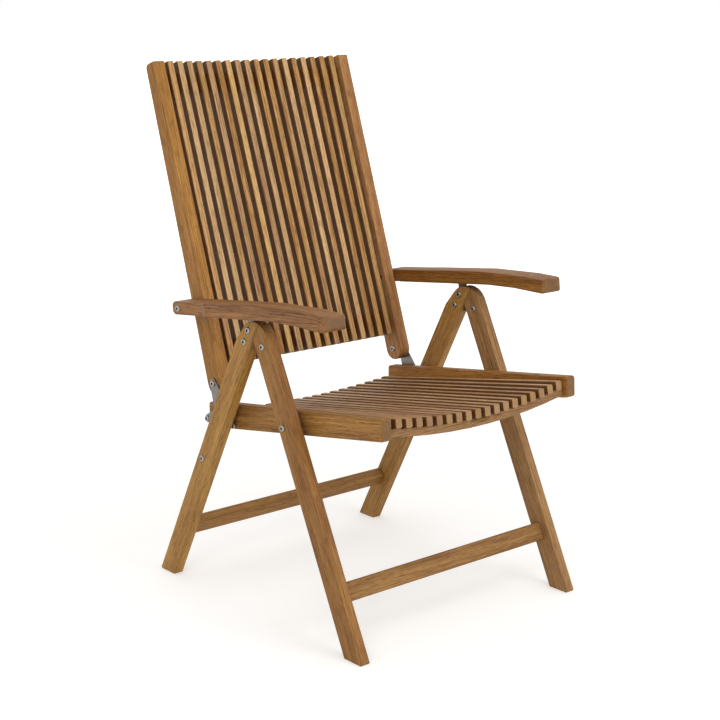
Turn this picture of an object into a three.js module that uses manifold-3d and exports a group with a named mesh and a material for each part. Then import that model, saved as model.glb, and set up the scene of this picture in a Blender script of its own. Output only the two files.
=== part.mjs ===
// Folding teak armchair with a high slatted back, a slatted seat and two long arms.
// Two pairs of legs close like scissors, and the back reclines in five steps.
// Millimetres, +Z up. The sitter faces -Y, and the two sides mirror each other in X.
import * as THREE from 'three';
import { mergeVertices } from 'three/addons/utils/BufferGeometryUtils.js';
import Module from 'manifold-3d';

const wasm = await Module();
wasm.setup();

// Fits shared by the whole chair
const clearance = 0.3;
const overrun = 3;
const leastEdge = 0.03;
const sides = { left: 1, right: -1 };
const arcStep = THREE.MathUtils.degToRad(18);
const roundSides = 20;
const archSides = 48;

// Legs: the front pair leans back, the rear pair leans forward, hinged near their tops
const widthOverLegs = 610;
const legThickness = 23;
const legDepth = 46.8;
const legEase = 3;
const hingeHeight = 577;
const frontFootReach = 281.4;
const rearFootReach = 354.4;
const rearLegOffset = 54.5;
const frontTopHeel = 7;
const archRise = 11.4;
const archRadius = 46.8;
const archBlendDrop = 45;

// Stretchers between the legs
const frontStretcherHeight = 117;
const frontStretcherDepth = 22;
const frontStretcherWidth = 39;
const frontStretcherSetback = 5.6;
const rearStretcherHeight = 113;
const rearStretcherDepth = 25;
const rearStretcherWidth = 36;
const rearStretcherSetback = 9.9;
const stretcherRounding = 5;

// Bolts and steel plates
const boltRadius = 4;
const boltHeadRadius = 7;
const boltHeadHeight = 3;
const boltHeadDome = 1.6;
const lowHeadHeight = 1.5;
const boltBlindDepth = 3;
const plateThickness = 3;
const hingeLobe = 14;
const fixingLobe = 11;
const fixingBoltAbove = 2;
const fixingBoltSpacing = 29;
const fixingBoltForward = 1.5;
const earLobe = 4.5;
const earNeck = 8;
const earTipRearward = 1.6;
const earTipAbove = 26.5;
const earTipLobe = 4;
const catchPinRadius = 3;
const catchPinLength = 14;
const catchPinRearward = 22.5;
const catchPinAbove = 25;

// Links between the rear legs and the seat brackets
const linkPivotDrop = 346.5;
const linkPivotSetback = 7.4;
const linkWidth = 20;
const linkLayerGap = 3;

// Seat, hinged on the front legs
const seatPivotDrop = 165.8;
const seatPivotSetback = 9.8;
const seatTilt = THREE.MathUtils.degToRad(8.9);
const seatFrontReach = 256.5;
const seatRearReach = 300;
const seatRearToe = 8;
const seatFrontToe = 4;
const railRearTop = 32;
const railFrontTop = 26.5;
const railFrontDepth = 44.2;
const railRearDepth = 55.2;
const railThickness = 24.5;
const railRoom = 14;
const railRounding = 6;
const railHeelRounding = 12;
const seatSlatHeight = 19.5;
const seatSlatRounding = 3;
const seatSlatFrontTop = 21.4;
const seatSlatRearTop = 9.7;
const seatFrontDish = 17.8;
const seatRearDish = 9.3;
const seatSlatFrontInset = 5;
const seatSlatRearInset = 5;
const crossRailDepth = 22;
const crossRailHeight = 17;
const frontCrossRailInset = 23;
const rearCrossRailInset = 38;
const haunchWidth = 9;
const haunchRise = 12;

// Brackets that carry the back on the seat rails
const backPivotInset = 26.9;
const backPivotRise = 72.5;
const bracketLobe = 11;
const bracketToeInset = 84.7;
const bracketToeRise = -13.7;
const bracketToeLobe = 7;
const bracketHeelInset = 36;
const bracketHeelRise = 9.5;
const bracketHeelLobe = 12;
const bracketTailInset = -7;
const bracketTailRise = -4;
const bracketTailLobe = 8.5;
const linkEyeInset = 21.1;
const linkEyeRise = 4.6;
const linkStubRadius = 6;

// Back
const backLean = THREE.MathUtils.degToRad(19.2);
const stileLength = 692;
const stileThickness = 27.7;
const stileFootDepth = 50.5;
const stileTopDepth = 32.6;
const backPivotSetback = 26.7;
const stileRounding = 3;
const stileCrownRounding = 10;
const slatCount = 18;
const slatWidth = 15.8;
const backSlatDepth = 25;
const backSlatRounding = 3;
const backSlatSetback = 4.5;
const backSlatStart = 34;
const backTopDish = 9.5;
const backRailDepth = 13;
const backRailHeight = 40;
const backRailSink = 12;
const topRailDrop = 65;
const bottomRailStart = 46;

// Arms
const armPivotRise = 167.5;
const armPivotSetback = 14.5;
const armTilt = THREE.MathUtils.degToRad(7.3);
const armReach = 484;
const armBendReach = 354;
const armTailReach = 21.9;
const armTailRounding = 10;
const armAbovePivot = 14.8;
const armBelowPivot = 13.5;
const armBelowBend = 15.2;
const armTopRounding = 1000;
const armUndersideRounding = 640;
const armNoseRounding = 11;
const armOverhang = 26;
const armInnerGap = 1.8;
const tongueInnerStep = 2.2;
const tongueOuterStep = 5;
const tongueShoulderReach = 26;
const tongueFlareReach = 88;
const tongueFlareLength = 16;
const tongueFlareRounding = 30;
const armInnerRounding = 13;
const armOuterRounding = 22;
const rackNotches = 5;
const rackPitch = 26.7;
const rackNotchRadius = 3.6;
const grooveWidth = 16;
const grooveEndRoom = 8;
const grooveHeadroom = 0.6;

// Sizes that follow from the ones above
const legOuter = widthOverLegs / 2;
const legInner = legOuter - legThickness;
const legHalf = legDepth / 2;
const plateMiddle = (legInner + legOuter) / 2;
const railOuter = legInner - railRoom;
const railInner = railOuter - railThickness;
const stileInner = railOuter - stileThickness;
const backPivotReach = seatRearReach - backPivotInset;
const bracketToeReach = seatRearReach - bracketToeInset;
const bracketHeelReach = seatRearReach - bracketHeelInset;
const bracketTailReach = seatRearReach - bracketTailInset;
const linkEyeReach = seatRearReach - linkEyeInset;
const bracketInner = railOuter + clearance;
const bracketOuter = bracketInner + plateThickness;
const linkOuter = legInner - linkLayerGap;
const linkInner = linkOuter - plateThickness;
const armOuter = legOuter + armOverhang;
const boltHole = boltRadius + clearance;
const frontLegAngle = Math.atan2(hingeHeight, frontFootReach);
const rearLegAngle = Math.atan2(hingeHeight, rearFootReach)
  + Math.asin(rearLegOffset / Math.hypot(hingeHeight, rearFootReach));
const legSpread = Math.PI - frontLegAngle - rearLegAngle;
const slatGap = (2 * stileInner - slatCount * slatWidth) / (slatCount + 1);
const slatPitch = slatWidth + slatGap;
const slatPlaces = Array.from({ length: slatCount }, (_, i) => (i - (slatCount - 1) / 2) * slatPitch);
const slatLast = slatPlaces[slatCount - 1];
const topRailStart = stileLength - topRailDrop;

// Side-view turns of each group about X, and the pivots they hang on
const frontTurn = frontLegAngle - Math.PI / 2;
const rearTurn = Math.PI / 2 - rearLegAngle;
const hinge = new THREE.Vector2(0, hingeHeight);
const seatPivot = outOf(hinge, frontTurn, seatPivotSetback, -seatPivotDrop);
const backPivot = outOf(seatPivot, -seatTilt, backPivotReach, backPivotRise);
const armPivot = outOf(backPivot, -backLean, armPivotSetback - backPivotSetback, armPivotRise);
const linkPivot = outOf(hinge, rearTurn, rearLegOffset + linkPivotSetback, -linkPivotDrop);
const linkEye = outOf(seatPivot, -seatTilt, linkEyeReach, linkEyeRise);
const catchPin = outOf(hinge, rearTurn, rearLegOffset + catchPinRearward, catchPinAbove);
const catchInArm = into(armPivot, -armTilt, catchPin);
const archCentre = outOf(hinge, frontTurn, legHalf, archRise);

// A point given in a turned group, as side-view Y and Z of the chair
function outOf(origin, turn, y, z) {
  return new THREE.Vector2(y, z).rotateAround(new THREE.Vector2(), turn).add(origin);
}

// A side-view point of the chair, as Y and Z of a turned group
function into(origin, turn, point) {
  return point.clone().sub(origin).rotateAround(new THREE.Vector2(), -turn);
}

// Outline points from corners of [across, up, radius], each radius as an arc within its sides
function rounded(corners) {
  const points = [];
  const places = corners.map(([x, y]) => new THREE.Vector2(x, y));
  corners.forEach(([, , radius = 0], i) => {
    const here = places[i];
    const back = places[(i + corners.length - 1) % corners.length].clone().sub(here);
    const ahead = places[(i + 1) % corners.length].clone().sub(here);
    const room = Math.min(back.length(), ahead.length()) / 2;
    const half = back.angleTo(ahead) / 2;
    const reach = Math.min(radius / Math.tan(half), room);
    if (reach === 0) {
      points.push(here);
      return;
    }
    const start = here.clone().addScaledVector(back.normalize(), reach);
    const end = here.clone().addScaledVector(ahead.normalize(), reach);
    const toCentre = back.add(ahead).normalize();
    const centre = here.clone().addScaledVector(toCentre, reach / Math.cos(half));
    points.push(...arc(centre, start, end));
  });
  return points.filter((point, i) => point.distanceTo(points[(i + 1) % points.length]) > leastEdge);
}

// Points on the shorter arc round a centre, from start to end
function arc(centre, start, end) {
  const from = start.clone().sub(centre);
  const to = end.clone().sub(centre);
  const sweep = Math.atan2(from.cross(to), from.dot(to));
  const steps = Math.max(1, Math.ceil(Math.abs(sweep) / arcStep));
  return Array.from({ length: steps + 1 }, (_, k) => start.clone().rotateAround(centre, sweep * k / steps));
}

// The tight outline round discs of [across, up, radius]
function roundDiscs(discs, discSides = roundSides) {
  const points = discs.flatMap(([x, y, radius]) => Array.from({ length: discSides }, (_, k) => {
    const angle = 2 * Math.PI * (k + 1 / 2) / discSides;
    return new THREE.Vector2(x + radius * Math.cos(angle), y + radius * Math.sin(angle));
  }));
  points.sort((a, b) => a.x - b.x || a.y - b.y);
  return [...halfHull(points), ...halfHull(points.reverse())];
}

// One side of a convex outline through sorted points
function halfHull(points) {
  const hull = [];
  for (const point of points) {
    while (hull.length > 1 && turnsInward(hull[hull.length - 2], hull[hull.length - 1], point)) hull.pop();
    hull.push(point);
  }
  return hull.slice(0, -1);
}

function turnsInward(a, b, c) {
  return b.clone().sub(a).cross(c.clone().sub(b)) <= 0;
}

// A closed solid from a three.js geometry, and the geometry back from a solid
function solid(geometry) {
  geometry.deleteAttribute('normal');
  geometry.deleteAttribute('uv');
  const merged = mergeVertices(geometry);
  return new wasm.Manifold(new wasm.Mesh({
    numProp: 3,
    vertProperties: new Float32Array(merged.attributes.position.array),
    triVerts: new Uint32Array(merged.index.array),
  }));
}

function geometryOf(body) {
  const mesh = body.getMesh();
  const geometry = new THREE.BufferGeometry();
  geometry.setAttribute('position', new THREE.BufferAttribute(mesh.vertProperties, mesh.numProp));
  geometry.setIndex(new THREE.BufferAttribute(mesh.triVerts, 1));
  geometry.computeVertexNormals();
  return geometry;
}

// A board sawn to a side outline and running across the chair between two distances from its middle
function sideBoard(points, side, near, far) {
  const geometry = new THREE.ExtrudeGeometry(new THREE.Shape(points), { depth: far - near, bevelEnabled: false });
  geometry.translate(0, 0, side > 0 ? near : -far);
  geometry.applyMatrix4(new THREE.Matrix4().makeBasis(
    new THREE.Vector3(0, 1, 0), new THREE.Vector3(0, 0, 1), new THREE.Vector3(1, 0, 0)));
  return solid(geometry);
}

// A board sawn to an outline in X and Y, between two heights
function planBoard(points, low, high) {
  const geometry = new THREE.ExtrudeGeometry(new THREE.Shape(points), { depth: high - low, bevelEnabled: false });
  geometry.translate(0, 0, low);
  return solid(geometry);
}

// A board sawn to an outline in X and Z, between two places along Y
function frontBoard(points, front, rear) {
  const geometry = new THREE.ExtrudeGeometry(new THREE.Shape(points), { depth: rear - front, bevelEnabled: false });
  geometry.rotateX(Math.PI / 2);
  geometry.translate(0, rear, 0);
  return solid(geometry);
}

function rectangle(left, right, low, high, radius = 0) {
  return rounded([[left, low, radius], [right, low, radius], [right, high, radius], [left, high, radius]]);
}

// A round bar across the chair on one side
function crossBar([y, z], radius, side, near, far, endRadius = radius) {
  const geometry = new THREE.CylinderGeometry(endRadius, radius, far - near, roundSides);
  geometry.rotateZ(-side * Math.PI / 2);
  geometry.translate(side * (near + far) / 2, y, z);
  return solid(geometry);
}

// A bolt whose low domed head sits outside the face that it clamps
function bolt(place, side, end, face) {
  const seat = face + clearance;
  const shoulder = seat + boltHeadHeight - boltHeadDome;
  const crown = seat + boltHeadHeight;
  return crossBar(place, boltRadius, side, end, crown - boltHeadDome / 2)
    .add(crossBar(place, boltHeadRadius, side, seat, shoulder))
    .add(crossBar(place, boltHeadRadius, side, shoulder, crown, boltHeadRadius - boltHeadDome));
}

function teak(colour) {
  return new THREE.MeshStandardMaterial({ color: colour, roughness: 0.62, metalness: 0 });
}

const steel = new THREE.MeshStandardMaterial({ color: '#8c8a86', roughness: 0.35, metalness: 0.9 });
const slatColours = ['#b0926a', '#a27c4e', '#98724a', '#a88458', '#8f6038'];

function addPiece(parent, name, body, material) {
  const mesh = new THREE.Mesh(geometryOf(body), material);
  mesh.name = name;
  parent.add(mesh);
  return mesh;
}

// A group whose Y and Z are turned in side view about a pivot
function turnedGroup(pivot, turn) {
  const group = new THREE.Group();
  group.position.set(0, pivot.x, pivot.y);
  group.rotation.x = turn;
  chair.add(group);
  return group;
}

// Front legs: Z runs up the leg and Y to its rear face, from the scissor hinge
function frontLegAt(height, y) {
  return (height - hingeHeight + y * Math.cos(frontLegAngle)) / Math.sin(frontLegAngle);
}

// Height on the plane where the leg's top butts against the rear leg
function frontLegButt(y) {
  const reach = rearLegOffset - legHalf - clearance;
  return (reach - y * Math.cos(legSpread)) / Math.sin(legSpread);
}

function frontLeg(side) {
  const blank = sideBoard(rounded([
    [-legHalf, frontLegAt(0, -legHalf), legEase],
    [legHalf, frontLegAt(0, legHalf), legEase],
    [legHalf, frontLegButt(legHalf), frontTopHeel],
    [-legHalf, frontLegButt(-legHalf)],
  ]), side, legInner, legOuter);
  const foot = frontLegAt(0, legHalf) - legDepth;
  const wood = blank.intersect(underArch([[legHalf, archRise, archRadius], [0, foot, legDepth]], side));
  const slotFoot = -(fixingBoltSpacing - fixingBoltAbove + fixingLobe + clearance);
  const slotFront = -(hingeLobe + clearance);
  const slot = sideBoard(
    rectangle(slotFront, legHalf + overrun, slotFoot, frontLegButt(-legHalf) + overrun),
    side, plateMiddle - plateThickness / 2 - clearance, plateMiddle + plateThickness / 2 + clearance);
  const seatHole = crossBar(
    [seatPivotSetback, -seatPivotDrop], boltHole, side, legInner - overrun, legOuter + overrun);
  const hingeHole = crossBar([0, 0], boltHole, side, legInner - overrun, legOuter + overrun);
  return wood.subtract(slot).subtract(seatHole).subtract(hingeHole);
}

// The space below the arch that the tops of both legs are sawn to, round discs of [across, up, radius]
function underArch(discs, side) {
  return sideBoard(roundDiscs(discs, archSides), side, legInner - overrun, legOuter + overrun);
}

function frontStretcher() {
  const middle = frontLegAt(frontStretcherHeight, frontStretcherSetback);
  const outline = rectangle(
    frontStretcherSetback - frontStretcherDepth / 2, frontStretcherSetback + frontStretcherDepth / 2,
    middle - frontStretcherWidth / 2, middle + frontStretcherWidth / 2, stretcherRounding);
  return sideBoard(outline, sides.left, clearance - legInner, legInner - clearance);
}

// Rear legs: Z runs up the leg and Y to its rear, from the scissor hinge in front of the leg
function rearLegAt(height, y) {
  return (height - hingeHeight - y * Math.cos(rearLegAngle)) / Math.sin(rearLegAngle);
}

function fixingBoltPlaces() {
  const y = rearLegOffset - fixingBoltForward;
  return [[y, fixingBoltAbove], [y, fixingBoltAbove - fixingBoltSpacing]];
}

// The steel hinge plate, or its slot when it is grown all round
function hingePlate(side, grow) {
  const [upper, lower] = fixingBoltPlaces();
  const near = plateMiddle - plateThickness / 2 - grow;
  const far = plateMiddle + plateThickness / 2 + grow;
  const body = sideBoard(roundDiscs([
    [0, 0, hingeLobe + grow], [...upper, fixingLobe + grow], [...lower, fixingLobe + grow]]), side, near, far);
  const ear = sideBoard(roundDiscs([
    [...upper, earNeck + grow],
    [rearLegOffset + earTipRearward, earTipAbove, earTipLobe + grow],
    [rearLegOffset + catchPinRearward, catchPinAbove, earLobe + grow]]), side, near, far);
  return body.add(ear);
}

function rearLeg(side) {
  const front = rearLegOffset - legHalf;
  const rear = rearLegOffset + legHalf;
  const arch = into(hinge, rearTurn, archCentre);
  const blank = sideBoard(rounded([
    [front, rearLegAt(0, front), legEase],
    [rear, rearLegAt(0, rear), legEase],
    [rear, legDepth],
    [front, legDepth],
  ]), side, legInner, legOuter);
  const foot = rearLegAt(0, front) - legDepth;
  const wood = blank.intersect(underArch([
    [arch.x, arch.y, archRadius],
    [rearLegOffset, -archBlendDrop, legHalf],
    [rearLegOffset, foot, legHalf]], side));
  const holes = [...fixingBoltPlaces(), [rearLegOffset + linkPivotSetback, -linkPivotDrop]];
  return holes.reduce(
    (leg, place) => leg.subtract(crossBar(place, boltHole, side, legInner - overrun, legOuter + overrun)),
    wood.subtract(hingePlate(side, clearance)));
}

function rearStretcher() {
  const middleY = rearLegOffset + rearStretcherSetback;
  const middle = rearLegAt(rearStretcherHeight, middleY);
  const outline = rectangle(
    middleY - rearStretcherDepth / 2, middleY + rearStretcherDepth / 2,
    middle - rearStretcherWidth / 2, middle + rearStretcherWidth / 2, stretcherRounding);
  return sideBoard(outline, sides.left, clearance - legInner, legInner - clearance);
}

// Hinge plate with its three bolts, their sleeve nuts inside the leg, and the pin that holds up the arm
function hingePlateSet(side) {
  const nutFace = legInner - clearance;
  const pinPlace = [rearLegOffset + catchPinRearward, catchPinAbove];
  const pin = crossBar(
    pinPlace, catchPinRadius, side, plateMiddle - catchPinLength / 2, plateMiddle + catchPinLength / 2);
  return [[0, 0], ...fixingBoltPlaces()].reduce(
    (set, place) => set.add(bolt(place, side, nutFace - boltHeadHeight / 2, legOuter))
      .add(crossBar(place, boltHeadRadius, side, nutFace - boltHeadHeight, nutFace)),
    hingePlate(side, 0).add(pin));
}

// Flat link from the rear leg up to the eye on the seat bracket
function legLink(side) {
  const length = linkEye.distanceTo(linkPivot);
  return sideBoard(roundDiscs([[0, 0, linkWidth / 2], [0, length, linkWidth / 2]]), side, linkInner, linkOuter)
    .add(bolt([0, 0], side, linkInner + plateThickness / 2, legOuter));
}

// Seat: Y runs to the rear along the side rail and Z square to it, from the seat pivot
function alongRail(front, rear, y) {
  return THREE.MathUtils.lerp(front, rear, (y + seatFrontReach) / (seatFrontReach + seatRearReach));
}

function railUnderside(y) {
  return alongRail(railFrontTop - railFrontDepth, railRearTop - railRearDepth, y);
}

function seatRail(side) {
  const heelY = seatRearReach + seatRearToe;
  return sideBoard(rounded([
    [-seatFrontReach, railUnderside(-seatFrontReach), railRounding],
    [heelY, railUnderside(heelY), railHeelRounding],
    [seatRearReach, railRearTop, railRounding],
    [-seatFrontReach - seatFrontToe, railFrontTop, railRounding],
  ]), side, railInner, railOuter);
}

function seatSlatEnds() {
  return [-seatFrontReach + seatSlatFrontInset - seatFrontToe, seatRearReach - seatSlatRearInset];
}

// Height of a slat's top over the place y, low in the middle of the seat and high at its sides
function seatSlatTop(x, y) {
  const [front, rear] = seatSlatEnds();
  const rise = (x / slatLast) ** 2 - 1;
  const frontTop = seatSlatFrontTop + seatFrontDish * rise;
  const rearTop = seatSlatRearTop + seatRearDish * rise;
  return THREE.MathUtils.lerp(frontTop, rearTop, (y - front) / (rear - front));
}

function seatSlat(x) {
  const [front, rear] = seatSlatEnds();
  const fall = seatSlatTop(x, front) - seatSlatTop(x, rear);
  const length = Math.hypot(rear - front, fall);
  const bar = frontBoard(rectangle(
    -slatWidth / 2, slatWidth / 2, -seatSlatHeight, 0, seatSlatRounding), 0, length);
  return { bar, front, tilt: -Math.atan2(fall, rear - front), top: seatSlatTop(x, front) };
}

// Outline of a rail with a flat under each slat and a smooth curve on its far side
function steppedOutline(seatAt, depth, reach) {
  const steps = slatPlaces.flatMap((x) => [
    new THREE.Vector2(Math.max(x - slatPitch / 2, -reach), seatAt(x)),
    new THREE.Vector2(Math.min(x + slatPitch / 2, reach), seatAt(x))]);
  steps[0].x = -reach;
  steps[steps.length - 1].x = reach;
  const curve = Array.from({ length: slatCount / 2 + 1 }, (_, k) => {
    const x = reach * (1 - 4 * k / slatCount);
    return new THREE.Vector2(x, seatAt(x) + depth);
  });
  return [...steps, ...curve];
}

function seatCrossRail(middleY) {
  const front = middleY - crossRailDepth / 2;
  const rear = middleY + crossRailDepth / 2;
  const reach = railInner + overrun;
  const seatAt = (x) => seatSlatTop(x, rear) - seatSlatHeight - clearance;
  const beam = frontBoard(steppedOutline(seatAt, -crossRailHeight, reach), front, rear);
  const foot = seatAt(railInner) - crossRailHeight / 2;
  const haunchEnd = Math.max(railInner - haunchWidth, slatLast + slatWidth / 2 + clearance);
  const haunch = (from, to) => frontBoard(
    rectangle(from, to, foot, foot + crossRailHeight / 2 + haunchRise), front, rear);
  return beam.add(haunch(haunchEnd, reach)).add(haunch(-reach, -haunchEnd));
}

// Pin that hangs one side of the seat in the front leg, with its spacer
function seatPin(side) {
  return crossBar([0, 0], boltHeadRadius, side, railOuter - overrun, legInner - clearance)
    .add(bolt([0, 0], side, railOuter - overrun, legOuter));
}

function bracketFixings() {
  return [[bracketToeReach, bracketToeRise], [bracketHeelReach, bracketHeelRise]];
}

function seatFrame() {
  const crossRails = [frontCrossRailInset - seatFrontReach, seatRearReach - rearCrossRailInset].map(seatCrossRail);
  const bare = Object.values(sides).reduce(
    (frame, side) => frame.add(seatRail(side)).add(seatPin(side)), crossRails[0].add(crossRails[1]));
  return Object.values(sides).reduce((frame, side) => bracketFixings().reduce(
    (held, place) => held.subtract(
      crossBar(place, boltHole, side, railOuter - railThickness / 2 - clearance, railOuter + overrun)),
    frame), bare);
}

// Bracket on the outer face of the seat rail, with its fixings and the stub that meets the link
function backBracket(side) {
  const heel = [bracketHeelReach, bracketHeelRise, bracketHeelLobe];
  const tail = [bracketTailReach, bracketTailRise];
  const upright = sideBoard(roundDiscs([
    [backPivotReach, backPivotRise, bracketLobe], [bracketToeReach, bracketToeRise, bracketToeLobe], heel,
  ]), side, bracketInner, bracketOuter);
  const arm = sideBoard(roundDiscs([heel, [...tail, bracketTailLobe]]), side, bracketInner, bracketOuter);
  const stub = crossBar([linkEyeReach, linkEyeRise], linkStubRadius, side, bracketInner, linkInner - clearance);
  const tailHead = crossBar(tail, boltHeadRadius, side, bracketInner, bracketOuter + lowHeadHeight);
  const fixings = bracketFixings().map(
    (place) => crossBar(place, boltRadius, side, railOuter - railThickness / 2, bracketOuter)
      .add(crossBar(place, boltHeadRadius, side, bracketInner, bracketOuter + lowHeadHeight)));
  const pivotHole = crossBar(
    [backPivotReach, backPivotRise], boltHole, side, bracketInner - overrun, bracketOuter + overrun);
  return fixings.reduce((plate, fixing) => plate.add(fixing), upright.add(arm).add(stub).add(tailHead))
    .subtract(pivotHole);
}

// Bolt on which the back turns, with a head outside the bracket and one inside the stile
function backPivotBolt(side) {
  const innerFace = stileInner - clearance;
  return bolt([0, 0], side, innerFace, bracketOuter)
    .add(crossBar([0, 0], boltHeadRadius, side, innerFace - lowHeadHeight, innerFace));
}

// Back: Z runs up the stile's front face and Y to its rear, from the back pivot
function backStile(side) {
  const front = -backPivotSetback;
  const foot = -stileFootDepth / 2;
  const wood = sideBoard(rounded([
    [front, foot, -foot],
    [front + stileFootDepth, foot, -foot],
    [front + stileTopDepth, stileLength, stileCrownRounding],
    [front, stileLength, stileRounding],
  ]), side, stileInner, railOuter);
  const holes = [[0, 0], [armPivotSetback - backPivotSetback, armPivotRise]];
  return holes.reduce(
    (stile, place) => stile.subtract(crossBar(place, boltHole, side, stileInner - overrun, railOuter + overrun)),
    wood);
}

// Where a slat's front face stands over the height z, drawn back in the middle at the top
function backSlatFace(x, z) {
  const dish = backTopDish * (1 - (x / slatLast) ** 2);
  const share = (z - backSlatStart) / (stileLength - backSlatStart);
  return backSlatSetback - backPivotSetback + dish * share;
}

// Where the front of a cross rail lies behind a slat's front face, let into the slat's back
function backRailFront(x, low) {
  return backSlatFace(x, low + backRailHeight) + backSlatDepth - backRailSink;
}

// Notch across a slat's back that a cross rail fills, in the slat's own frame
function railNotch(x, low, tilt) {
  const foot = new THREE.Vector2(backSlatFace(x, backSlatStart), backSlatStart);
  const front = backRailFront(x, low) - clearance;
  const rear = front + backSlatDepth + overrun;
  const corners = [
    [front, low - clearance], [rear, low - clearance],
    [rear, low + backRailHeight + clearance], [front, low + backRailHeight + clearance],
  ].map(([y, z]) => into(foot, tilt, new THREE.Vector2(y, z)));
  return sideBoard(corners, sides.left, -slatWidth, slatWidth);
}

function backSlat(x) {
  const drawn = backSlatFace(x, stileLength) - backSlatFace(x, backSlatStart);
  const length = Math.hypot(stileLength - backSlatStart, drawn);
  const tilt = -Math.asin(drawn / length);
  const half = slatWidth / 2;
  const blank = planBoard(rounded([
    [-half, 0, backSlatRounding], [half, 0, backSlatRounding], [half, backSlatDepth], [-half, backSlatDepth],
  ]), 0, length);
  const bar = [bottomRailStart, topRailStart].reduce(
    (slat, low) => slat.subtract(railNotch(x, low, tilt)), blank);
  return { bar, tilt };
}

function backRail(low) {
  const seatAt = (x) => backRailFront(x, low);
  return planBoard(
    steppedOutline(seatAt, backRailDepth, stileInner - clearance), low, low + backRailHeight);
}

// Arms: Z stands on the arm and -Y runs forward along it, from the arm pivot
function armOutline() {
  const noseFall = (armReach - armBendReach) * Math.tan(armTilt);
  return rounded([
    [armTailReach, armAbovePivot, armTailRounding],
    [-armBendReach, armAbovePivot, armTopRounding],
    [-armReach, armAbovePivot - noseFall, armNoseRounding],
    [-armReach, -armBelowBend - noseFall, armNoseRounding],
    [-armBendReach, -armBelowBend, armUndersideRounding],
    [armTailReach, -armBelowPivot, armTailRounding],
  ]);
}

function armPlan(side) {
  const inner = railOuter + armInnerGap;
  const tongueInner = inner + tongueInnerStep;
  const tongueOuter = armOuter - tongueOuterStep;
  const rear = armTailReach + overrun;
  return rounded([
    [tongueInner, rear], [tongueInner, -tongueShoulderReach],
    [inner, -tongueShoulderReach - tongueInnerStep], [inner, -armReach, armInnerRounding],
    [armOuter, -armReach, armOuterRounding],
    [armOuter, -tongueFlareReach - tongueFlareLength, tongueFlareRounding],
    [tongueOuter, -tongueFlareReach, tongueFlareRounding], [tongueOuter, rear],
  ].map(([x, y, radius]) => [side * x, y, radius]));
}

// Groove under the arm for the catch pin, with one round notch for each position of the back
function armRack(side) {
  const roof = catchInArm.y + earLobe + grooveHeadroom;
  const start = catchInArm.x + earLobe + grooveEndRoom;
  const end = catchInArm.x - (rackNotches - 1) * rackPitch - earLobe - grooveEndRoom;
  const near = plateMiddle - grooveWidth / 2;
  const far = plateMiddle + grooveWidth / 2;
  const groove = sideBoard(rectangle(end, start, -armBelowBend - overrun, roof), side, near, far);
  return Array.from({ length: rackNotches }, (_, k) => catchInArm.x - k * rackPitch).reduce(
    (rack, y) => rack.add(crossBar([y, roof], rackNotchRadius, side, near, far)), groove);
}

function armrest(side) {
  const height = armAbovePivot + armReach;
  const wood = sideBoard(armOutline(), side, railOuter, armOuter + overrun)
    .intersect(planBoard(armPlan(side), -height, height));
  const hole = crossBar([0, 0], boltHole, side, railOuter, armOuter + overrun);
  return wood.subtract(hole).subtract(armRack(side));
}

function armPivotBolt(side) {
  return bolt([0, 0], side, stileInner + boltBlindDepth, armOuter - tongueOuterStep);
}

// The chair, piece by piece
const chair = new THREE.Group();
const frontFrame = turnedGroup(hinge, frontTurn);
const rearFrame = turnedGroup(hinge, rearTurn);
const linkLine = linkEye.clone().sub(linkPivot);
const linkFrame = turnedGroup(linkPivot, linkLine.angle() - Math.PI / 2);
const seat = turnedGroup(seatPivot, -seatTilt);
const back = turnedGroup(backPivot, -backLean);
const arms = turnedGroup(armPivot, -armTilt);

for (const [word, side] of Object.entries(sides)) {
  addPiece(frontFrame, `front_leg_${word}`, frontLeg(side), teak('#a47a4c'));
  addPiece(rearFrame, `rear_leg_${word}`, rearLeg(side), teak('#b08b5e'));
  addPiece(rearFrame, `hinge_plate_${word}`, hingePlateSet(side), steel);
  addPiece(linkFrame, `leg_link_${word}`, legLink(side), steel);
  addPiece(seat, `back_bracket_${word}`, backBracket(side), steel);
  addPiece(back, `back_pivot_bolt_${word}`, backPivotBolt(side), steel);
  addPiece(back, `back_stile_${word}`, backStile(side), teak('#a88458'));
  addPiece(arms, `arm_pivot_bolt_${word}`, armPivotBolt(side), steel);
  addPiece(arms, `armrest_${word}`, armrest(side), teak('#a0784b'));
}
addPiece(frontFrame, 'front_stretcher', frontStretcher(), teak('#98724a'));
addPiece(rearFrame, 'rear_stretcher', rearStretcher(), teak('#98724a'));
addPiece(seat, 'seat_frame', seatFrame(), teak('#a27c4e'));
addPiece(back, 'back_rail_top', backRail(topRailStart), teak('#98724a'));
addPiece(back, 'back_rail_bottom', backRail(bottomRailStart), teak('#98724a'));

slatPlaces.forEach((x, i) => {
  const number = String(i + 1).padStart(2, '0');
  const seatBar = seatSlat(x);
  const seatMesh = addPiece(seat, `seat_slat_${number}`, seatBar.bar, teak(slatColours[i % slatColours.length]));
  seatMesh.position.set(x, seatBar.front, seatBar.top);
  seatMesh.rotation.x = seatBar.tilt;
  const backBar = backSlat(x);
  const shade = slatColours[(i + 2) % slatColours.length];
  const backMesh = addPiece(back, `back_slat_${number}`, backBar.bar, teak(shade));
  backMesh.position.set(x, backSlatFace(x, backSlatStart), backSlatStart);
  backMesh.rotation.x = backBar.tilt;
});

// The floor is Z = 0, and the middle of the chair's outer box stands over the origin
const object = new THREE.Group();
object.add(chair);
const box = new THREE.Box3().setFromObject(chair, true);
chair.position.set(0, -(box.min.y + box.max.y) / 2, -box.min.z);

export default object;
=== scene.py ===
import math
import random

import bmesh
import bpy
import numpy as np
from mathutils import Matrix, Vector


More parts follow.
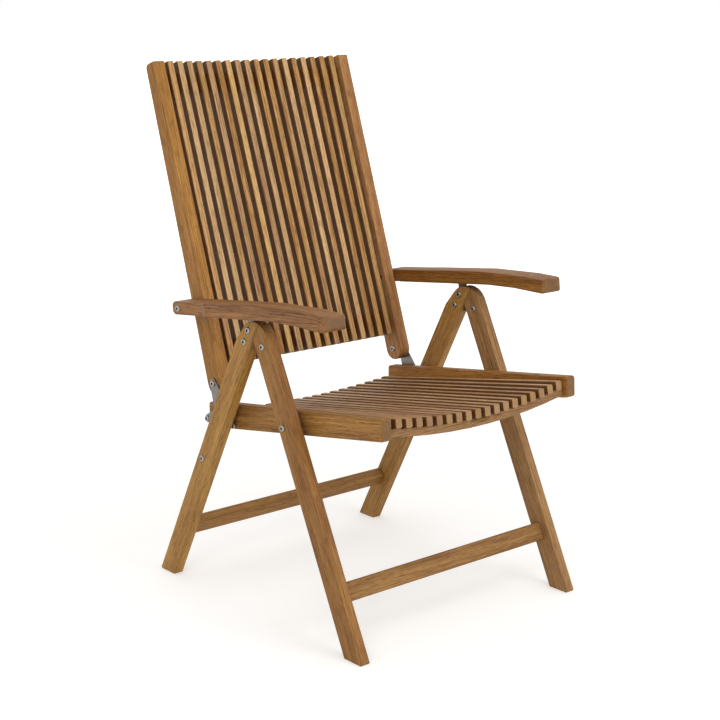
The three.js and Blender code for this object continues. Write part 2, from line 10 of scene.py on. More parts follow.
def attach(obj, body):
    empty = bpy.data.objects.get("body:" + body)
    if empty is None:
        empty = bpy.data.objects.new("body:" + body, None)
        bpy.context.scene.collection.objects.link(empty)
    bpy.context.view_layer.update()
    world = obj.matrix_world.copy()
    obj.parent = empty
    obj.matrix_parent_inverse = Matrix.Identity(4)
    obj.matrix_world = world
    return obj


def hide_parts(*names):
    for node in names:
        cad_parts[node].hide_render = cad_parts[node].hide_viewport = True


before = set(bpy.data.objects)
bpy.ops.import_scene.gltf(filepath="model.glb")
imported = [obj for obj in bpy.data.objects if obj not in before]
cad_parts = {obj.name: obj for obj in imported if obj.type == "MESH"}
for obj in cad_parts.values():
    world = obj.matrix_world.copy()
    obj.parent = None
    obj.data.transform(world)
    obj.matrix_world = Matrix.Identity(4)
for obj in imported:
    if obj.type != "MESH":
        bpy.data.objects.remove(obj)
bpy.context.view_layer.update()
SIDES = {"left": 1, "right": -1}
MM = 0.001

# Legs and stretchers
# Planed teak, 23 mm thick, with a satin oil finish. The front legs are sawn from redder boards than the rear
# ones. Every outer arris is taken off by hand with a router, and the ends are cut level with the floor.
LEG_EASE = 1.6 * MM
STRETCHER_EASE = 1.6 * MM
EASE_STEPS = 3
SEAM = 0.001 * MM
FLAT = math.radians(0.5)
ARRIS = math.radians(38)
RECESS_CORNER = math.radians(60)
HOLE_STEP = math.radians(10)
HOLE_CHORD = 2.0 * MM
SMOOTH = math.radians(38)
PITH_NEAR = 25 * MM
PITH_FAR = 90 * MM
BOARD_LENGTH = 4000 * MM
RING_WIDTH = 4.5 * MM
RING_WANDER = 9 * MM
WAVE_PERIOD = math.pi / 10
WANDER_SIZE = (210, 38)
STREAK_SIZE = (120, 2.4)
DRIFT_SIZE = (400, 22)
PORE_SIZE = (22, 1.3)
RING_SHARE = 0.24
TONE_SHARE = 0.16
HUE_SHUFFLE = 5.37
GREY_SHUFFLE = 11.9
PORE_SHARE = 0.55
END_PORE_SHARE = 0.3
END_GREY_SHARE = 0.6
# The next share paints a darker shade line along every eased edge
EDGE_SHADE_SHARE = 0.16
# The next share paints shade onto the sides of slats that face a gap
GAP_SHADE_SHARE = 0.88
PORE_DULLNESS = 0.18
PORE_DEPTH = 0.7
GRAIN_DEPTH = 0.25 * MM
PORE_COLOUR = "#3E2410"
END_COLOUR = "#5F4A33"
# The next colour is painted shade along eased edges
EDGE_SHADE_COLOUR = "#50300F"
# The next colour is painted shade for the sides of slats that face a gap
GAP_SHADE_COLOUR = "#4E2804"


def bare_solid(node):
    """The node's solid with its seams closed and each flat face in one piece."""
    solid = bmesh.new()
    solid.from_mesh(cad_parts[node].data)
    return cleaned(solid)


def cleaned(solid):
    """The solid with double corners joined and the edges inside its flat faces taken out."""
    bmesh.ops.remove_doubles(solid, verts=solid.verts, dist=SEAM)
    bmesh.ops.dissolve_limit(solid, angle_limit=FLAT, verts=solid.verts, edges=solid.edges)
    return solid


def in_recess(edge):
    """True on the rim of a drilled hole or a slot, which a router doesn't follow."""
    for face in edge.link_faces:
        for other in face.edges:
            if other == edge or not other.is_manifold or not set(other.verts) & set(edge.verts):
                continue
            turn = -other.calc_face_angle_signed(0)
            if turn > RECESS_CORNER or (turn > HOLE_STEP and edge.calc_length() < HOLE_CHORD):
                return True
    return False


def ease(solid, radius):
    """Rounds the outer arrises and returns the new faces."""
    arrises = [
        edge for edge in solid.edges
        if edge.is_manifold and edge.calc_face_angle_signed(0) > ARRIS and not in_recess(edge)
    ]
    made = bmesh.ops.bevel(
        solid, geom=arrises, offset=radius, offset_type="OFFSET", segments=EASE_STEPS,
        profile=0.5, affect="EDGES", clamp_overlap=False,
    )
    return set(made["faces"])


def grain_frame(points):
    """The middle of a board and its own directions, the grain's first."""
    middle = points.mean(0)
    return middle, np.linalg.svd(points - middle, full_matrices=False)[2]


def settle(solid, name, body, nodes, materials):
    """Makes the solid a piece that rides on its body and stands for its CAD nodes."""
    mesh = bpy.data.meshes.new(name)
    solid.to_mesh(mesh)
    solid.free()
    mesh.shade_smooth()
    mesh.set_sharp_from_angle(angle=SMOOTH)
    for material in materials:
        mesh.materials.append(material)
    piece = bpy.data.objects.new(name, mesh)
    bpy.context.scene.collection.objects.link(piece)
    flatten = piece.modifiers.new("flat_faces_stay_flat", "WEIGHTED_NORMAL")
    flatten.keep_sharp = True
    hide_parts(*nodes)
    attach(piece, body)
    return piece


def add_board(solid, name, radius, material, body, nodes, painted_gap_shade=()):
    """An eased board that carries its own grain. Its mesh keeps three sets of numbers for the material: grain is
    the place in the log it was sawn from, board its tone, its end grain and its eased edges, which get a painted
    shade line, and painted_gap_shade marks the flat sides that face one of the ways given here across the chair,
    which get painted shade for the dark between the slats."""
    middle, directions = grain_frame(np.array([vertex.co[:] for vertex in solid.verts]))
    eased = ease(solid, radius)
    bmesh.ops.triangulate(solid, faces=[face for face in solid.faces if len(face.verts) > 4])
    solid.faces.ensure_lookup_table()
    along = Vector(directions[0])
    edge_share = [1.0 if face in eased else 0.0 for face in solid.faces]
    end_share = [abs(face.normal.dot(along)) ** 2 for face in solid.faces]
    # Flat sides that face the given ways are marked for painted shade between the slats
    gap_shade_by_face = [
        1.0 if face not in eased and round(face.normal.x) in painted_gap_shade else 0.0 for face in solid.faces]
    piece = settle(solid, name, body, nodes, [material])
    luck = random.Random(name)
    angle = luck.uniform(0, 2 * math.pi)
    pith = luck.uniform(PITH_NEAR, PITH_FAR)
    log = np.array([luck.uniform(0, BOARD_LENGTH), pith * math.cos(angle), pith * math.sin(angle)])
    tone = luck.uniform(-1, 1)
    mesh = piece.data
    places = np.zeros(len(mesh.vertices) * 3)
    mesh.vertices.foreach_get("co", places)
    grain = (places.reshape(-1, 3) - middle) @ directions.T + log
    mesh.attributes.new("grain", "FLOAT_VECTOR", "POINT").data.foreach_set("vector", grain.ravel())
    rows = [
        (tone, end_share[face.index], edge_share[face.index])
        for face in mesh.polygons for _ in face.loop_indices]
    mesh.attributes.new("board", "FLOAT_VECTOR", "CORNER").data.foreach_set("vector", np.array(rows).ravel())
    shares = [gap_shade_by_face[face.index] for face in mesh.polygons for _ in face.loop_indices]
    mesh.attributes.new("painted_gap_shade", "FLOAT", "CORNER").data.foreach_set("value", shares)
    return piece


def linear(hex_colour):
    """An sRGB hex colour as linear red, green, blue and alpha."""
    shares = [int(hex_colour[i:i + 2], 16) / 255 for i in (1, 3, 5)]
    return (*[s / 12.92 if s <= 0.04045 else ((s + 0.055) / 1.055) ** 2.4 for s in shares], 1.0)


def add(tree, kind, inputs, **settings):
    """A node with its settings, its input values and its links."""
    node = tree.nodes.new(kind)
    for key, value in settings.items():
        setattr(node, key, value)
    for key, value in inputs.items():
        if isinstance(value, bpy.types.NodeSocket):
            tree.links.new(value, node.inputs[key])
        else:
            node.inputs[key].default_value = value
    return node


def bare_tree(owner):
    """The node tree of a material or a world, emptied."""
    owner.use_nodes = True
    owner.node_tree.nodes.clear()
    return owner.node_tree


def repeats(length, across):
    """How often a pattern of this length and width, in millimetres, comes in a metre of the board each way."""
    return (1 / (length * MM), 1 / (across * MM), 1 / (across * MM))


def oiled_teak(name, light, dark, tone_share=TONE_SHARE, end_colour=END_COLOUR):
    """Teak, planed, sanded and oiled: straight streaks of two browns, growth rings that show as curves on the ends,
    and short dark pores. The oil leaves a satin surface that is duller in the pores."""
    material = bpy.data.materials.new(name)
    tree = bare_tree(material)
    grain = add(tree, "ShaderNodeAttribute", {}, attribute_name="grain").outputs["Vector"]
    board = add(tree, "ShaderNodeAttribute", {}, attribute_name="board").outputs["Vector"]
    tone, end, eased = add(tree, "ShaderNodeSeparateXYZ", {0: board}).outputs

    # The rings wander a few millimetres over each 150 mm of board
    slow = add(tree, "ShaderNodeVectorMath", {0: grain, 1: repeats(*WANDER_SIZE)}, operation="MULTIPLY").outputs[0]
    bend = add(tree, "ShaderNodeTexNoise", {"Vector": slow, "Scale": 1, "Detail": 2}).outputs["Color"]
    middled = add(tree, "ShaderNodeVectorMath", {0: bend, 1: (0.5, 0.5, 0.5)}, operation="SUBTRACT").outputs[0]
    bent = add(
        tree, "ShaderNodeVectorMath", {0: middled, 1: (0, RING_WANDER, RING_WANDER), 2: grain},
        operation="MULTIPLY_ADD",
    ).outputs[0]
    rings = add(
        tree, "ShaderNodeTexWave", {"Vector": bent, "Scale": WAVE_PERIOD / RING_WIDTH, "Distortion": 0},
        wave_type="RINGS", rings_direction="X", wave_profile="SIN",
    ).outputs["Fac"]

    # Long thin streaks, and slow drifts along the board
    streak_place = add(
        tree, "ShaderNodeVectorMath", {0: bent, 1: repeats(*STREAK_SIZE)}, operation="MULTIPLY").outputs[0]
    streaks = add(
        tree, "ShaderNodeTexNoise", {"Vector": streak_place, "Scale": 1, "Detail": 5, "Roughness": 0.7},
    ).outputs["Fac"]
    drift_place = add(
        tree, "ShaderNodeVectorMath", {0: bent, 1: repeats(*DRIFT_SIZE)}, operation="MULTIPLY").outputs[0]
    drifts = add(tree, "ShaderNodeTexNoise", {"Vector": drift_place, "Scale": 1, "Detail": 1}).outputs["Fac"]
    streaked = add(tree, "ShaderNodeMapRange", {
        "Value": streaks, "From Min": 0.34, "From Max": 0.66, "To Min": -0.06, "To Max": 0.72}).outputs[0]
    drifted = add(tree, "ShaderNodeMapRange", {
        "Value": drifts, "From Min": 0.3, "From Max": 0.7, "To Min": -0.16, "To Max": 0.26}).outputs[0]
    ringed = add(tree, "ShaderNodeMath", {0: rings, 1: RING_SHARE, 2: streaked}, operation="MULTIPLY_ADD").outputs[0]
    shade = add(tree, "ShaderNodeMath", {0: ringed, 1: drifted}, operation="ADD").outputs[0]
    shade = add(
        tree, "ShaderNodeMath", {0: tone, 1: tone_share, 2: shade}, operation="MULTIPLY_ADD", use_clamp=True,
    ).outputs[0]
    colour = add(
        tree, "ShaderNodeMix", {0: shade, 6: linear(light), 7: linear(dark)}, data_type="RGBA",
    ).outputs[2]

    # Each board has its own hue, from reddish to golden, and some boards are greyer
    hue_luck = add(tree, "ShaderNodeMath", {0: tone, 1: HUE_SHUFFLE}, operation="MULTIPLY").outputs[0]
    hue_luck = add(tree, "ShaderNodeMath", {0: hue_luck}, operation="FRACT").outputs[0]
    hue = add(tree, "ShaderNodeMapRange", {"Value": hue_luck, "To Min": 0.4965, "To Max": 0.5035}).outputs[0]
    grey_luck = add(tree, "ShaderNodeMath", {0: tone, 1: GREY_SHUFFLE}, operation="MULTIPLY").outputs[0]
    grey_luck = add(tree, "ShaderNodeMath", {0: grey_luck}, operation="FRACT").outputs[0]
    strength = add(tree, "ShaderNodeMapRange", {"Value": grey_luck, "To Min": 0.94, "To Max": 1.08}).outputs[0]
    colour = add(
        tree, "ShaderNodeHueSaturation", {"Hue": hue, "Saturation": strength, "Color": colour}).outputs[0]

    # Pores, really 0.3 mm wide, are drawn 1.3 mm wide so that they show
    pore_place = add(
        tree, "ShaderNodeVectorMath", {0: bent, 1: repeats(*PORE_SIZE)}, operation="MULTIPLY").outputs[0]
    pore_noise = add(tree, "ShaderNodeTexNoise", {"Vector": pore_place, "Scale": 1, "Detail": 2}).outputs["Fac"]
    pores = add(tree, "ShaderNodeMapRange", {
        "Value": pore_noise, "From Min": 0.54, "From Max": 0.66, "To Min": 0, "To Max": 1}).outputs[0]
    pore_weight = add(
        tree, "ShaderNodeMath", {0: end, 1: END_PORE_SHARE, 2: PORE_SHARE}, operation="MULTIPLY_ADD").outputs[0]
    pore_share = add(tree, "ShaderNodeMath", {0: pores, 1: pore_weight}, operation="MULTIPLY").outputs[0]
    colour = add(
        tree, "ShaderNodeMix", {0: pore_share, 6: colour, 7: linear(PORE_COLOUR)}, data_type="RGBA",
    ).outputs[2]

    # End grain drinks the oil and greys, and eased edges get painted shade, a little darker
    end_share = add(tree, "ShaderNodeMath", {0: end, 1: END_GREY_SHARE}, operation="MULTIPLY").outputs[0]
    colour = add(
        tree, "ShaderNodeMix", {0: end_share, 6: colour, 7: linear(end_colour)}, data_type="RGBA",
    ).outputs[2]
    edge_share = add(tree, "ShaderNodeMath", {0: eased, 1: EDGE_SHADE_SHARE}, operation="MULTIPLY").outputs[0]
    colour = add(
        tree, "ShaderNodeMix", {0: edge_share, 6: colour, 7: linear(EDGE_SHADE_COLOUR)}, data_type="RGBA",
    ).outputs[2]

    # Painted shade: the sides that face a gap are darkened towards a dark brown that stands in for the shade between
    # the slats
    painted_gap_shade = add(tree, "ShaderNodeAttribute", {}, attribute_name="painted_gap_shade").outputs["Fac"]
    gap_shade_weight = add(tree, "ShaderNodeMath", {0: painted_gap_shade, 1: GAP_SHADE_SHARE}, operation="MULTIPLY").outputs[0]
    colour = add(
        tree, "ShaderNodeMix", {0: gap_shade_weight, 6: colour, 7: linear(GAP_SHADE_COLOUR)}, data_type="RGBA",
    ).outputs[2]

    # The oil lies duller in the pores, which are a little sunk
    dullness = add(tree, "ShaderNodeMapRange", {
        "Value": streaks, "From Min": 0.3, "From Max": 0.7, "To Min": 0.46, "To Max": 0.60}).outputs[0]
    roughness = add(
        tree, "ShaderNodeMath", {0: pores, 1: PORE_DULLNESS, 2: dullness}, operation="MULTIPLY_ADD", use_clamp=True,
    ).outputs[0]
    height = add(
        tree, "ShaderNodeMath", {0: pores, 1: -PORE_DEPTH, 2: streaks}, operation="MULTIPLY_ADD",
    ).outputs[0]
    bump = add(
        tree, "ShaderNodeBump", {"Height": height, "Strength": 0.35, "Distance": GRAIN_DEPTH}).outputs[0]
    wood = add(
        tree, "ShaderNodeBsdfPrincipled", {
            "Base Color": colour, "Roughness": roughness, "Specular IOR Level": 0.3, "Normal": bump},
    ).outputs[0]
    add(tree, "ShaderNodeOutputMaterial", {"Surface": wood})
    return material


teak_front_leg = oiled_teak("oiled_teak_red_brown", "#AC7E44", "#744720")
teak_rear_leg = oiled_teak("oiled_teak_golden", "#B98D52", "#83562C")
teak_stretcher = oiled_teak("oiled_teak_mid_brown", "#A77A41", "#714821")

for side in SIDES:
    add_board(
        bare_solid(f"front_leg_{side}"), f"front_leg_{side}_teak", LEG_EASE, teak_front_leg,
        "front_frame", [f"front_leg_{side}"])
    add_board(
        bare_solid(f"rear_leg_{side}"), f"rear_leg_{side}_teak", LEG_EASE, teak_rear_leg,
        "rear_frame", [f"rear_leg_{side}"])
add_board(
    bare_solid("front_stretcher"), "front_stretcher_teak", STRETCHER_EASE, teak_stretcher,
    "front_frame", ["front_stretcher"])
add_board(
    bare_solid("rear_stretcher"), "rear_stretcher_teak", STRETCHER_EASE, teak_stretcher,
    "rear_frame", ["rear_stretcher"])

# Hinge plates, leg links and their bolts
# Laser-cut stainless plate, brushed, in the leg tops, and a flat link inside each rear leg. The bolts are
# button-head socket screws whose low domes stand on the wood.
LEG_OUTER = 305 * MM
LEG_INNER = 282 * MM
HEAD_RADIUS = 7.0 * MM
HEAD_HEIGHT = 3.0 * MM
HEAD_RIM = 0.7 * MM
HEAD_GAP = 0.3 * MM
SOCKET_HALF = 2.6 * MM
SOCKET_DEPTH = 2.2 * MM
SOCKET_RIM = SOCKET_HALF * 1.35
HEAD_SIDES = 36
DOME_STEPS = 5
PLATE_EASE = 0.5 * MM
CUT_ROOM = 0.05 * MM
BRUSH_SIZE = (0.6, 30)
MARK_SIZE = (6, 6)
SCRATCH_DEPTH = 0.02 * MM
SCRATCH_COLOUR = "#5E5C58"


def slab(solid, low, high):
    """A copy of the part of a solid between two places across the chair, with its cuts closed."""
    kept = solid.copy()
    for place, direction in ((low, -1), (high, 1)):
        bmesh.ops.bisect_plane(
            kept, geom=[*kept.verts, *kept.edges, *kept.faces], dist=SEAM,
            plane_co=(place, 0, 0), plane_no=(direction, 0, 0), clear_outer=True)
    bmesh.ops.holes_fill(kept, edges=[edge for edge in kept.edges if edge.is_boundary], sides=0)
    return kept


def head_places(solid, face, out):
    """The middles, as Y and Z, of the bolt heads that stand out past a face."""
    beyond = {vertex for vertex in solid.verts if vertex.co.x * out > face * out + CUT_ROOM}
    places = []
    while beyond:
        head = [beyond.pop()]
        for vertex in head:
            joined = {edge.other_vert(vertex) for edge in vertex.link_edges} & beyond
            beyond -= joined
            head.extend(joined)
        across = [vertex.co.y for vertex in head]
        up = [vertex.co.z for vertex in head]
        places.append(((min(across) + max(across)) / 2, (min(up) + max(up)) / 2))
    return places


def add_head(solid, place, face, out):
    """A domed head with a six-sided socket, standing on a face and pointing out along X."""
    def ring(radius_at, height):
        turns = [2 * math.pi * k / HEAD_SIDES for k in range(HEAD_SIDES)]
        return [solid.verts.new((
            face + out * height,
            place[0] + radius_at(turn) * math.cos(turn),
            place[1] + radius_at(turn) * math.sin(turn))) for turn in turns]

    def hexagon(turn):
        sixth = math.pi / 3
        return SOCKET_HALF / math.cos((turn + sixth / 2) % sixth - sixth / 2)

    rings = [ring(lambda _: HEAD_RADIUS, 0)]
    for step in range(DOME_STEPS):
        rise = step / (DOME_STEPS - 1) * math.pi / 2
        radius = SOCKET_RIM + (HEAD_RADIUS - SOCKET_RIM) * math.cos(rise)
        rings.append(ring(lambda _, r=radius: r, HEAD_RIM + (HEAD_HEIGHT - HEAD_RIM) * math.sin(rise)))
    rings.append(ring(hexagon, HEAD_HEIGHT))
    rings.append(ring(hexagon, HEAD_HEIGHT - SOCKET_DEPTH))
    for level, (under, over) in enumerate(zip(rings, rings[1:])):
        for k in range(HEAD_SIDES):
            after = (k + 1) % HEAD_SIDES
            face_made = solid.faces.new((under[k], under[after], over[after], over[k]))
            # The socket's walls and floor take the near-black painted shade material
            face_made.material_index = 1 if level < len(rings) - 2 else 2
    solid.faces.new(rings[0][::-1])
    solid.faces.new(rings[-1]).material_index = 2


def satin_steel(name, colour, rough):
    """Stainless steel, brushed or turned: a grey metal whose fine lines spread the light, with duller marks from
    handling."""
    material = bpy.data.materials.new(name)
    tree = bare_tree(material)
    place = add(tree, "ShaderNodeTexCoord", {}).outputs["Object"]
    # Brushed lines, really under 0.1 mm, are drawn 0.6 mm apart so that they show
    line_place = add(
        tree, "ShaderNodeVectorMath", {0: place, 1: repeats(*BRUSH_SIZE)}, operation="MULTIPLY").outputs[0]
    turned = add(tree, "ShaderNodeMapping", {"Vector": line_place, "Rotation": (0, 0, math.pi / 2)}).outputs[0]
    lines = add(tree, "ShaderNodeTexNoise", {"Vector": turned, "Scale": 1, "Detail": 3}).outputs["Fac"]
    mark_place = add(
        tree, "ShaderNodeVectorMath", {0: place, 1: repeats(*MARK_SIZE)}, operation="MULTIPLY").outputs[0]
    marks = add(tree, "ShaderNodeTexNoise", {"Vector": mark_place, "Scale": 1, "Detail": 3}).outputs["Fac"]
    marked = add(tree, "ShaderNodeMapRange", {
        "Value": marks, "From Min": 0.3, "From Max": 0.7, "To Min": -0.08, "To Max": 0.10}).outputs[0]
    roughness = add(tree, "ShaderNodeMath", {0: marked, 1: rough}, operation="ADD").outputs[0]
    tint_share = add(tree, "ShaderNodeMapRange", {
        "Value": lines, "From Min": 0.3, "From Max": 0.7, "To Min": 0, "To Max": 0.3}).outputs[0]
    tint = add(
        tree, "ShaderNodeMix", {0: tint_share, 6: linear(colour), 7: linear(SCRATCH_COLOUR)}, data_type="RGBA",
    ).outputs[2]
    bump = add(
        tree, "ShaderNodeBump", {"Height": lines, "Strength": 0.3, "Distance": SCRATCH_DEPTH}).outputs[0]
    metal = add(tree, "ShaderNodeBsdfPrincipled", {
        "Base Color": tint, "Metallic": 1.0, "Roughness": roughness, "Normal": bump}).outputs[0]
    add(tree, "ShaderNodeOutputMaterial", {"Surface": metal})
    return material


steel_plate = satin_steel("brushed_stainless_plate", "#82807B", 0.4)
steel_head = satin_steel("turned_stainless_head", "#A3A19D", 0.34)
# Painted shade: a near-black steel for the walls and floor of each socket, where shade falls in the recess
socket_painted_shade = satin_steel("painted_socket_shade", "#1E1D1B", 0.7)
STEELS = [steel_plate, steel_head, socket_painted_shade]


def add_steel(solid, name, body, nodes, faces):
    """A steel piece whose plain heads past each (face, direction) give way to domed ones."""
    reach = [min(v.co.x for v in solid.verts), max(v.co.x for v in solid.verts)]
    heads = [(place, face, out) for face, out in faces for place in head_places(solid, face, out)]
    for face, out in faces:
        reach[out > 0] = face
    bare = slab(solid, *reach)
    solid.free()
    ease(bare, PLATE_EASE)
    for place, face, out in heads:
        add_head(bare, place, face + out * HEAD_GAP, out)
    bmesh.ops.recalc_face_normals(bare, faces=bare.faces)
    return settle(bare, name, body, nodes, STEELS)


for side, out in SIDES.items():
    add_steel(
        bare_solid(f"hinge_plate_{side}"), f"hinge_plate_{side}_steel", "rear_frame",
        [f"hinge_plate_{side}"], [(out * LEG_OUTER, out), (out * LEG_INNER, -out)])
    add_steel(
        bare_solid(f"leg_link_{side}"), f"leg_link_{side}_steel", "links",
        [f"leg_link_{side}"], [(out * LEG_OUTER, out)])

# Seat frame
# Two tapered side rails with two dished cross rails glued between them, in teak, and the steel pins with
# spacers that hang the frame in the front legs.
RAIL_OUTER = 268 * MM
RAIL_INNER = 243.5 * MM
RAIL_EASE = 3.0 * MM
CROSS_EASE = 1.2 * MM
FAR_OUT = 400 * MM

teak_rail = oiled_teak("oiled_teak_rail", "#B6854B", "#774D25")
teak_front_rail = oiled_teak("oiled_teak_cross_rail", "#AC8248", "#7C532A")
seat_solid = bare_solid("seat_frame")
for side, out in SIDES.items():
    span = sorted((out * (RAIL_INNER + CUT_ROOM), out * (RAIL_OUTER - CUT_ROOM)))
    add_board(
        cleaned(slab(seat_solid, *span)), f"seat_rail_{side}_teak", RAIL_EASE, teak_rail,
        "seat", ["seat_frame"])
    span = sorted((out * (RAIL_OUTER + CUT_ROOM), out * FAR_OUT))
    add_steel(
        slab(seat_solid, *span), f"seat_pin_{side}_steel", "seat", ["seat_frame"], [(out * LEG_OUTER, out)])
between = cleaned(slab(seat_solid, CUT_ROOM - RAIL_INNER, RAIL_INNER - CUT_ROOM))
seat_solid.free()
for word, facing in {"front": -1, "rear": 1}.items():
    rail = between.copy()
    other = [vertex for vertex in rail.verts if vertex.co.y * facing < 0]
    bmesh.ops.delete(rail, geom=other, context="VERTS")
    add_board(
        rail, f"seat_cross_rail_{word}_teak", CROSS_EASE, teak_front_rail, "seat", ["seat_frame"])
between.free()

# Seat slats
# Eighteen teak slats of 16 by 20 mm, screwed from below to flats on the cross rails. Each is sawn from another
# place in the board, so neighbours differ in colour.
SLAT_EASE = 1.2 * MM
SLATS = [f"{number:02d}" for number in range(1, 19)]
BOTH_SIDES = (-1, 1)
SEAT_SLAT_TONES = 0.3
PALE_END_COLOUR = "#8E7250"

teak_seat_slat = oiled_teak("oiled_teak_seat_slat", "#C69963", "#83562C", SEAT_SLAT_TONES, PALE_END_COLOUR)
# Both flat sides of each seat slat get painted shade for the dark gaps between them
for number in SLATS:
    add_board(
        bare_solid(f"seat_slat_{number}"), f"seat_slat_{number}_teak", SLAT_EASE, teak_seat_slat,
        "seat", [f"seat_slat_{number}"], BOTH_SIDES)

# Back brackets and back pivot bolts
# Brushed stainless brackets of 3 mm, screwed to the outer faces of the side rails, and the bolts on which the
# back turns, with a head outside and a second one inside the stile.
BRACKET_OUTER = 271.3 * MM
STILE_INNER = 240.3 * MM

for side, out in SIDES.items():
    add_steel(
        bare_solid(f"back_bracket_{side}"), f"back_bracket_{side}_steel", "seat",
        [f"back_bracket_{side}"], [(out * BRACKET_OUTER, out)])
    add_steel(
        bare_solid(f"back_pivot_bolt_{side}"), f"back_pivot_bolt_{side}_steel", "back_pivot",
        [f"back_pivot_bolt_{side}"], [(out * BRACKET_OUTER, out), (out * STILE_INNER, -out)])

# Back
# Two tapered stiles, round at the foot, with two cross rails between them that carry eighteen upright slats.
# The slats are notched over the rails and stand a few millimetres behind the stiles' front faces.
STILE_EASE = 1.6 * MM
BACK_RAIL_EASE = 1.5 * MM
BACK_SLAT_TONES = 0.34

teak_stile = oiled_teak("oiled_teak_stile", "#BA8A51", "#84552A")
teak_back_slat = oiled_teak("oiled_teak_back_slat", "#CEA670", "#895D2B", BACK_SLAT_TONES)
for side in SIDES:
    add_board(
        bare_solid(f"back_stile_{side}"), f"back_stile_{side}_teak", STILE_EASE, teak_stile,
        "backrest", [f"back_stile_{side}"])
for word in ("top", "bottom"):
    add_board(
        bare_solid(f"back_rail_{word}"), f"back_rail_{word}_teak", BACK_RAIL_EASE, teak_rail,
        "backrest", [f"back_rail_{word}"])
# Both flat sides of each back slat get painted shade for the dark gaps between them
for number in SLATS:
    add_board(
        bare_solid(f"back_slat_{number}"), f"back_slat_{number}_teak", SLAT_EASE, teak_back_slat,
        "backrest", [f"back_slat_{number}"], BOTH_SIDES)

# Armrests
# Long teak arms, sawn with a level nose and a narrower tongue that passes the stile, and rounded by hand on
# every edge. Each turns on one bolt through the tongue.
ARM_EASE = 3.2 * MM
TONGUE_OUTER = 326 * MM

teak_arm = oiled_teak("oiled_teak_arm", "#A97435", "#663C14")
for side, out in SIDES.items():
    add_board(
        bare_solid(f"armrest_{side}"), f"armrest_{side}_teak", ARM_EASE, teak_arm,
        "arms", [f"armrest_{side}"])
    add_steel(
        bare_solid(f"arm_pivot_bolt_{side}"), f"arm_pivot_bolt_{side}_steel", "arm_pivot",
        [f"arm_pivot_bolt_{side}"], [(out * TONGUE_OUTER, out)])

# Floor and surroundings
# A plain pale floor that shows white, with the chair's soft shadow on it, under an even white sky.
FLOOR_HALF = 30.0
NEAR_GLOW = 0.34
FAR_GLOW = 0.9
NEAR_REACH = 1.2
FAR_REACH = 5.0
SKY_LIGHT = 0.80
FLOOR_COLOUR = "#E4E3E0"
WHITE = "#FFFFFF"


def white_background(tree, dim, shown):
    """Mixes what the camera and reflections see with what lights the scene."""
    path = add(tree, "ShaderNodeLightPath", {}).outputs
    sees = add(tree, "ShaderNodeMath", {0: path["Is Camera Ray"], 1: path["Is Glossy Ray"]}, operation="MAXIMUM")
    sees = add(tree, "ShaderNodeMath", {0: sees.outputs[0], 1: path["Is Transmission Ray"]}, operation="MAXIMUM")
    return add(tree, "ShaderNodeMixShader", {0: sees.outputs[0], 1: dim, 2: shown}).outputs[0]


floor_material = bpy.data.materials.new("matt_white_floor")
tree = bare_tree(floor_material)
matt = add(tree, "ShaderNodeBsdfDiffuse", {"Color": linear(FLOOR_COLOUR)}).outputs[0]
place = add(tree, "ShaderNodeTexCoord", {}).outputs["Object"]
distance = add(tree, "ShaderNodeVectorMath", {0: place}, operation="LENGTH").outputs["Value"]
strength = add(tree, "ShaderNodeMapRange", {
    "Value": distance, "From Min": NEAR_REACH, "From Max": FAR_REACH,
    "To Min": NEAR_GLOW, "To Max": FAR_GLOW}).outputs[0]
glow = add(tree, "ShaderNodeEmission", {"Color": linear(WHITE), "Strength": strength}).outputs[0]
lit = add(tree, "ShaderNodeAddShader", {0: matt, 1: glow}).outputs[0]
add(tree, "ShaderNodeOutputMaterial", {"Surface": white_background(tree, matt, lit)})

floor_mesh = bpy.data.meshes.new("floor")
corners = [(x * FLOOR_HALF, y * FLOOR_HALF, 0) for x, y in ((-1, -1), (1, -1), (1, 1), (-1, 1))]
floor_mesh.from_pydata(corners, [], [(0, 1, 2, 3)])
floor_mesh.materials.append(floor_material)
floor = bpy.data.objects.new("floor", floor_mesh)
bpy.context.scene.collection.objects.link(floor)

world = bpy.data.worlds.new("even_white_sky")
bpy.context.scene.world = world
tree = bare_tree(world)
dim = add(tree, "ShaderNodeBackground", {"Color": linear(WHITE), "Strength": SKY_LIGHT}).outputs[0]
shown = add(tree, "ShaderNodeBackground", {"Color": linear(WHITE), "Strength": 1.0}).outputs[0]
add(tree, "ShaderNodeOutputWorld", {"Surface": white_background(tree, dim, shown)})

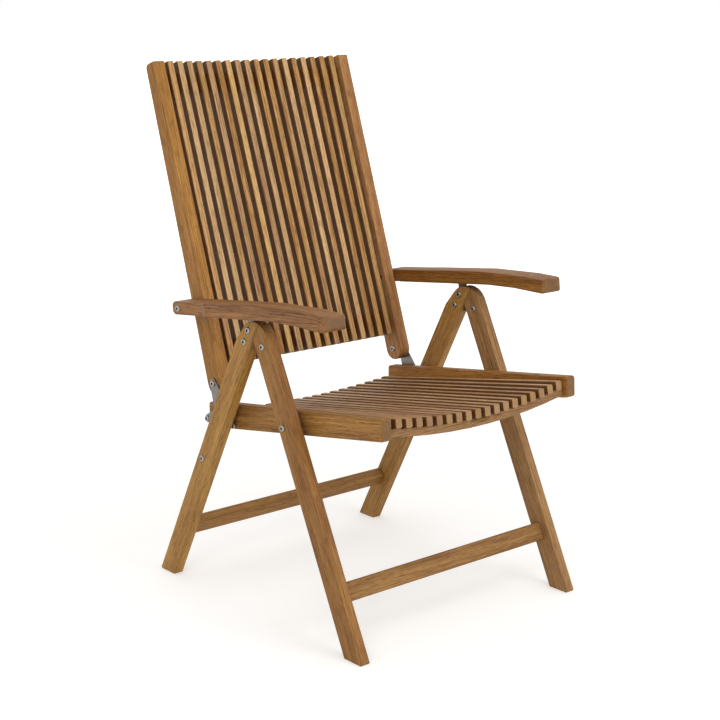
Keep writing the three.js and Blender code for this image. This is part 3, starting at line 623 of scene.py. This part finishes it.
# Studio lights
# A soft box in front, a weaker one high on the picture's left, and a faint one behind that lifts the rims.
AIM = Vector((0, 0, 0.5))
LAMPS = {
    "soft_box_left": ((-3.0, -2.0, 2.8), 1.8, 30),
    "soft_box_front": ((0.6, -4.0, 2.0), 2.2, 58),
    "soft_box_rear": ((0.6, 3.0, 2.8), 2.0, 10),
}
for name, (place, size, power) in LAMPS.items():
    lamp = bpy.data.lights.new(name, "AREA")
    lamp.shape = "SQUARE"
    lamp.size = size
    lamp.energy = power
    stand = bpy.data.objects.new(name, lamp)
    bpy.context.scene.collection.objects.link(stand)
    stand.location = place
    stand.rotation_mode = "QUATERNION"
    stand.rotation_quaternion = (AIM - Vector(place)).to_track_quat("-Z", "Y")

# Camera
# Stands at the front right of the chair, a little above its back, as in the photograph.
CAMERA_PLACE = Vector((-2.15093, -2.498504, 1.29303))
CAMERA_AZIMUTH = math.radians(-40.8654)
CAMERA_ELEVATION = math.radians(13.6729)
CAMERA_ROLL = math.radians(0.407)
FOCAL_PIXELS = 1580.21
FRAME_PIXELS = 720
SENSOR_WIDTH = 36

back = Vector((
    math.sin(CAMERA_AZIMUTH) * math.cos(CAMERA_ELEVATION),
    -math.cos(CAMERA_AZIMUTH) * math.cos(CAMERA_ELEVATION),
    math.sin(CAMERA_ELEVATION)))
level = Vector((math.cos(CAMERA_AZIMUTH), math.sin(CAMERA_AZIMUTH), 0))
upright = back.cross(level)
right = level * math.cos(CAMERA_ROLL) + upright * math.sin(CAMERA_ROLL)
up = upright * math.cos(CAMERA_ROLL) - level * math.sin(CAMERA_ROLL)
camera_data = bpy.data.cameras.new("camera")
camera_data.sensor_width = SENSOR_WIDTH
camera_data.lens = FOCAL_PIXELS / FRAME_PIXELS * SENSOR_WIDTH
camera = bpy.data.objects.new("camera", camera_data)
bpy.context.scene.collection.objects.link(camera)
camera.matrix_world = Matrix.Translation(CAMERA_PLACE) @ Matrix((right, up, back)).transposed().to_4x4()
bpy.context.scene.camera = camera
bpy.context.scene.view_settings.view_transform = "Standard"
